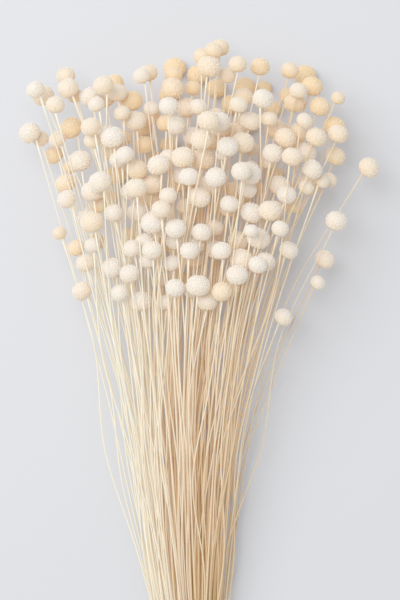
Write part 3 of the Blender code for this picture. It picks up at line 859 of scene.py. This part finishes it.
twine = {
    "turns": 3,
    "startTurn": -0.25,               # it starts under the bunch
    "pitch": 3.0,
    "strands": 3,
    "strandRadius": 0.62,
    "strandOffset": 0.50,
    "wider": 1.35,                    # it is pressed flat against the stems
    "layLength": 6.0,                 # one twist of the strands
    "sides": 8,
    "steps": 338,
    "ageAndShade": 0.35,
    "strandAge": 0.1,                 # how much older each strand is than the last
    # painted shade where a strand faces the others
    "paintedShade": 0.35,
    "endAge": 0.4,
    # painted shade at the strands' end points
    "endShade": 0.5,
    "streakLength": 6.0,
    "streakWidth": 0.002,
}


# the twine's middle line, an oval (a cos(t), b sin(t)) that slides along the stems, and the unit
# direction out of it, (cos(t) / a, sin(t) / b)
def twinePath():
    gap = bunch["tieGap"] + bunch["twineThickness"] / 2
    a, b = bunch["tieHalfWidth"] + gap, bunch["tieHalfHeight"] + gap
    turns, start = twine["turns"], twine["startTurn"]
    width = (turns - 1) * twine["pitch"]
    t = np.linspace(start, turns + start, twine["steps"]) * 2 * math.pi
    y = bunch["tieY"] - width / 2 + (t / (2 * math.pi) - start) / turns * width
    middle = np.stack([a * np.cos(t), y, b * np.sin(t) + float(middleZ(0.0))], axis=-1)
    out = np.stack([np.cos(t) / a, 0 * t, np.sin(t) / b], axis=-1)
    return middle, out / np.linalg.norm(out, axis=-1, keepdims=True)


# a strand's centre = middle line + offset * (out * cos(twist) + side * sin(twist)), with a ring
# of points carried along it
def makeTwine():
    middle, out = twinePath()
    steps, sides, strands = twine["steps"], twine["sides"], twine["strands"]
    length = np.append(0, np.cumsum(np.linalg.norm(np.diff(middle, axis=0), axis=-1)))
    u = np.arange(sides) * 2 * math.pi / sides
    sideways = np.array([0.0, twine["wider"], 0.0])
    points, marks = [], {"ageAndShade": [], "paintedShade": [], "along": [], "round": []}
    for strand in range(strands):
        twist = (length / twine["layLength"] + strand / strands) * 2 * math.pi
        off = out * np.cos(twist)[:, None] + sideways * np.sin(twist)[:, None]
        centre = middle + off * twine["strandOffset"]
        along = np.gradient(centre, axis=0)
        along /= np.linalg.norm(along, axis=-1, keepdims=True)
        first = out - along * (out * along).sum(axis=-1, keepdims=True)
        first /= np.linalg.norm(first, axis=-1, keepdims=True)
        second = np.cross(along, first)
        ring = first[:, None] * np.cos(u)[:, None] + second[:, None] * np.sin(u)[:, None]
        tube = (centre[:, None] + ring * twine["strandRadius"]).reshape(-1, 3)
        points.append(np.concatenate([tube, centre[[0, -1]]]))
        # painted shade: darker where a strand turns in towards the others
        inwards = 1 - np.cos(twist)[:, None] * np.cos(u)
        ageAndShade = np.full(steps * sides, twine["ageAndShade"] + twine["strandAge"] * strand)
        ageEnds, shadeEnds = [twine["endAge"]] * 2, [twine["endShade"]] * 2
        marks["ageAndShade"].append(np.append(ageAndShade, ageEnds))
        marks["paintedShade"].append(np.append((twine["paintedShade"] * inwards).clip(0, 1), shadeEnds))
        streakAlong = np.repeat(length * mm / twine["streakLength"], sides)
        marks["along"].append(np.append(streakAlong, [0, 0]))
        marks["round"].append(np.append(np.tile(np.cos(u) * twine["streakWidth"], steps), [0, 0]))
    faces = [repeatFaces(some, strands, steps * sides + 2) for some in tubeFaces(steps, sides)]
    marks = {mark: np.concatenate(values) for mark, values in marks.items()}
    piece = makePiece("twine", np.concatenate(points), faces, jute, marks)
    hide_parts("tie")


makeTwine()
print("twine made")


studio = {
    "tableSize": 12.0,
    "tableColour": (0.508, 0.534, 0.582),
    "tableRoughness": 0.7,
    "worldColour": (1.0, 0.965, 0.92),
    "worldStrength": 0.44,
    "keyPower": 20.0,
    "keySize": 1.2,
    "keyPlace": (-1.2, 0.75, 1.5),
    "fillPower": 9.8,
    "fillSize": 0.6,
    "fillPlace": (-0.25, 0.35, 1.5),
    "shadeLift": 1.9,                  # the view's gamma
    "bounces": 16,
    "diffuseBounces": 10,
}
shot = {
    "middle": (5.0, 232.0, 58.0),      # what the camera looks at, mm from the fork
    "height": 1.45,
    "frameLength": 0.378,              # the longer side of the frame there, in metres
}


# a flat square at z = 0, half its size to each side
def makeTable():
    half = studio["tableSize"] / 2
    corners = [(-half, -half, 0), (half, -half, 0), (half, half, 0), (-half, half, 0)]
    mesh = bpy.data.meshes.new("table")
    mesh.from_pydata(corners, [], [(0, 1, 2, 3)])
    table = bpy.data.objects.new("table", mesh)
    bpy.context.scene.collection.objects.link(table)
    look = bpy.data.materials.new("paleTable")
    look.use_nodes = True
    shader = look.node_tree.nodes["Principled BSDF"]
    shader.inputs["Base Color"].default_value = (*studio["tableColour"], 1)
    shader.inputs["Roughness"].default_value = studio["tableRoughness"]
    mesh.materials.append(look)


# a square lamp whose back points along place - target
def makeLight(name, place, size, power, target):
    light = bpy.data.lights.new(name, "AREA")
    light.size = size
    light.energy = power
    lamp = bpy.data.objects.new(name, light)
    lamp.location = place
    away = lamp.location - target
    lamp.rotation_euler = away.to_track_quat("Z", "Y").to_euler()
    bpy.context.scene.collection.objects.link(lamp)


# world, lamps and a camera straight above: lens = sensor * (height - target's) / frame length
def makeStudio():
    world = bpy.data.worlds.new("studio")
    world.use_nodes = True
    back = world.node_tree.nodes["Background"]
    back.inputs["Color"].default_value = (*studio["worldColour"], 1)
    back.inputs["Strength"].default_value = studio["worldStrength"]
    bpy.context.scene.world = world
    target = Vector(shift) + Vector(shot["middle"]) * mm
    makeLight("windowLight", studio["keyPlace"], studio["keySize"], studio["keyPower"], target)
    makeLight("fillLight", studio["fillPlace"], studio["fillSize"], studio["fillPower"], target)
    camera = bpy.data.cameras.new("camera")
    camera.sensor_width = 36.0
    camera.lens = camera.sensor_width * (shot["height"] - target.z) / shot["frameLength"]
    eye = bpy.data.objects.new("camera", camera)
    eye.location = (target.x, target.y, shot["height"])
    bpy.context.scene.collection.objects.link(eye)
    bpy.context.scene.camera = eye


makeTable()
makeStudio()
bpy.context.scene.view_settings.view_transform = "Standard"
bpy.context.scene.view_settings.gamma = studio["shadeLift"]
bpy.context.scene.cycles.max_bounces = studio["bounces"]
bpy.context.scene.cycles.diffuse_bounces = studio["diffuseBounces"]
print("table, light and camera set")
